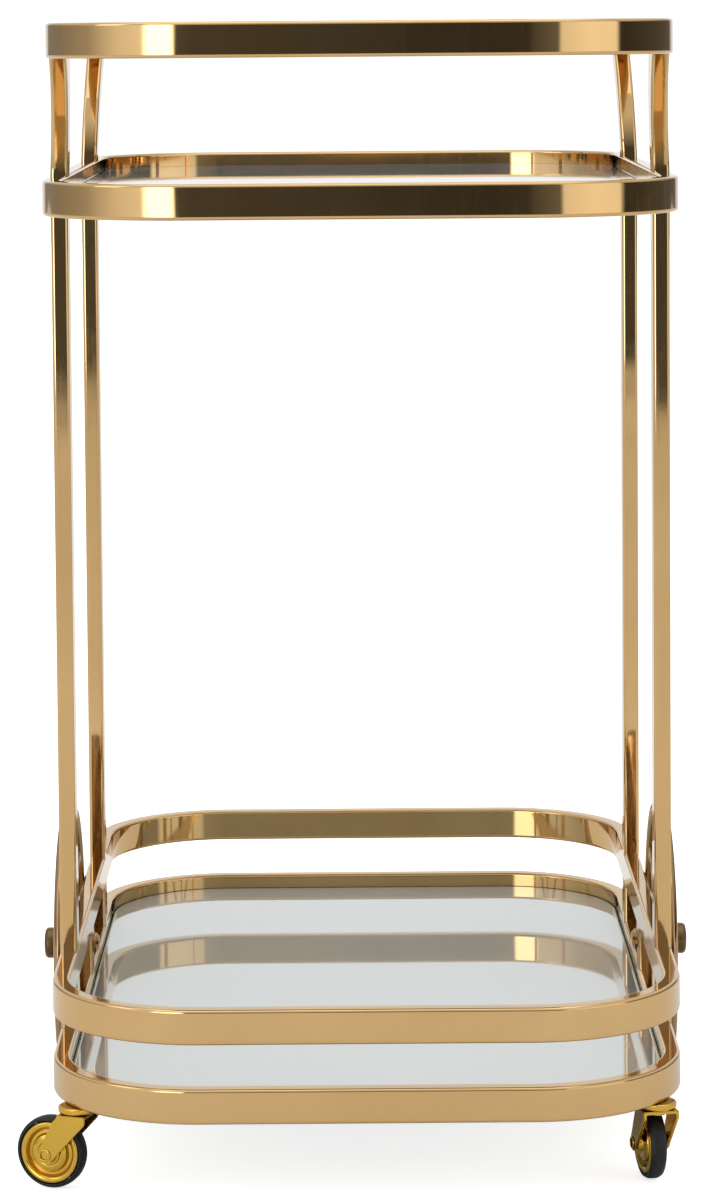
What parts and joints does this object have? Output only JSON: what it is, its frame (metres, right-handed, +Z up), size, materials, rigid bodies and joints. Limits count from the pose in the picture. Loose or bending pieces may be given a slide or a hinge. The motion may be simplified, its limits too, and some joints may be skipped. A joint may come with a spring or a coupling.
{
  "type": "bar cart",
  "caption": "Two-tier serving cart with gold bar frame, rounded mirrored shelves, gallery rail, raised top rail, big spoked side wheels and swivel casters.",
  "frame": {"origin": "on the floor, under the middle of the cart", "axes": "+Z up, +X across the cart's width, Y along its length with the end seen in the reference view at -Y"},
  "size_m": [0.4844, 0.695, 0.7965],
  "materials": {
    "plated_gold": "polished gold plating",
    "caster_brass": "bright yellow plating on pressed steel",
    "zinc_steel": "plated steel hardware",
    "mirror": "mirrored glass, faintly green",
    "black_rubber": "smooth matt",
    "nylon_bush": "plain"
  },
  "bodies": {
    "cart": {"top_rail": "plated_gold", "upper_shelf_rim": "plated_gold", "upper_shelf_ledge": "plated_gold", "upper_shelf_panel": "mirror", "gallery_rail": "plated_gold", "lower_shelf_rim": "plated_gold", "lower_shelf_ledge": "plated_gold", "lower_shelf_panel": "mirror", "leg_front_left": "plated_gold", "leg_front_right": "plated_gold", "leg_rear_left": "plated_gold", "leg_rear_right": "plated_gold", "lower_post_front_left": "plated_gold", "lower_post_front_right": "plated_gold", "lower_post_rear_left": "plated_gold", "lower_post_rear_right": "plated_gold", "upper_post_front_left": "plated_gold", "upper_post_front_right": "plated_gold", "upper_post_rear_left": "plated_gold", "upper_post_rear_right": "plated_gold", "axle_block_left": "plated_gold", "axle_bolt_left": "zinc_steel", "axle_washer_left": "zinc_steel", "axle_cap_left": "plated_gold", "axle_block_right": "plated_gold", "axle_bolt_right": "zinc_steel", "axle_washer_right": "zinc_steel", "axle_cap_right": "plated_gold", "caster_stem_front_left": "zinc_steel", "caster_stem_front_right": "zinc_steel", "caster_stem_rear_left": "zinc_steel", "caster_stem_rear_right": "zinc_steel"},
    "big_wheel_left": {"big_wheel_rim_left": "plated_gold", "big_wheel_spider_left": "plated_gold", "big_wheel_bush_left": "nylon_bush"},
    "big_wheel_right": {"big_wheel_rim_right": "plated_gold", "big_wheel_spider_right": "plated_gold", "big_wheel_bush_right": "nylon_bush"},
    "fork_front_left": {"caster_fork_front_left": "caster_brass", "caster_axle_front_left": "zinc_steel"},
    "roller_front_left": {"caster_disc_front_left": "caster_brass", "caster_tyre_front_left": "black_rubber"},
    "fork_front_right": {"caster_fork_front_right": "caster_brass", "caster_axle_front_right": "zinc_steel"},
    "roller_front_right": {"caster_disc_front_right": "caster_brass", "caster_tyre_front_right": "black_rubber"},
    "fork_rear_left": {"caster_fork_rear_left": "caster_brass", "caster_axle_rear_left": "zinc_steel"},
    "roller_rear_left": {"caster_disc_rear_left": "caster_brass", "caster_tyre_rear_left": "black_rubber"},
    "fork_rear_right": {"caster_fork_rear_right": "caster_brass", "caster_axle_rear_right": "zinc_steel"},
    "roller_rear_right": {"caster_disc_rear_right": "caster_brass", "caster_tyre_rear_right": "black_rubber"}
  },
  "joints": [
    {"name": "big_wheel_left_spin", "type": "hinge", "parent": "cart", "child": "big_wheel_left", "pos_m": [-0.2232, 0, 0.104], "axis": [1, 0, 0], "continuous": true},
    {"name": "big_wheel_right_spin", "type": "hinge", "parent": "cart", "child": "big_wheel_right", "pos_m": [0.2232, 0, 0.104], "axis": [1, 0, 0], "continuous": true},
    {"name": "swivel_front_left", "type": "hinge", "parent": "cart", "child": "fork_front_left", "pos_m": [-0.19834, -0.292, 0.055], "axis": [0, 0, 1], "continuous": true},
    {"name": "roller_front_left_spin", "type": "hinge", "parent": "fork_front_left", "child": "roller_front_left", "pos_m": [-0.21619, -0.2855, 0.025], "axis": [-0.342, -0.9397, 0], "continuous": true},
    {"name": "swivel_front_right", "type": "hinge", "parent": "cart", "child": "fork_front_right", "pos_m": [0.19834, -0.292, 0.055], "axis": [0, 0, 1], "continuous": true},
    {"name": "roller_front_right_spin", "type": "hinge", "parent": "fork_front_right", "child": "roller_front_right", "pos_m": [0.19455, -0.27338, 0.025], "axis": [-0.9799, -0.1994, 0], "continuous": true},
    {"name": "swivel_rear_left", "type": "hinge", "parent": "cart", "child": "fork_rear_left", "pos_m": [-0.19834, 0.292, 0.055], "axis": [0, 0, 1], "continuous": true},
    {"name": "roller_rear_left_spin", "type": "hinge", "parent": "fork_rear_left", "child": "roller_rear_left", "pos_m": [-0.20421, 0.31007, 0.025], "axis": [-0.9511, -0.309, 0], "continuous": true},
    {"name": "swivel_rear_right", "type": "hinge", "parent": "cart", "child": "fork_rear_right", "pos_m": [0.19834, 0.292, 0.055], "axis": [0, 0, 1], "continuous": true},
    {"name": "roller_rear_right_spin", "type": "hinge", "parent": "fork_rear_right", "child": "roller_rear_right", "pos_m": [0.20325, 0.31035, 0.025], "axis": [-0.9659, 0.2588, 0], "continuous": true}
  ]
}
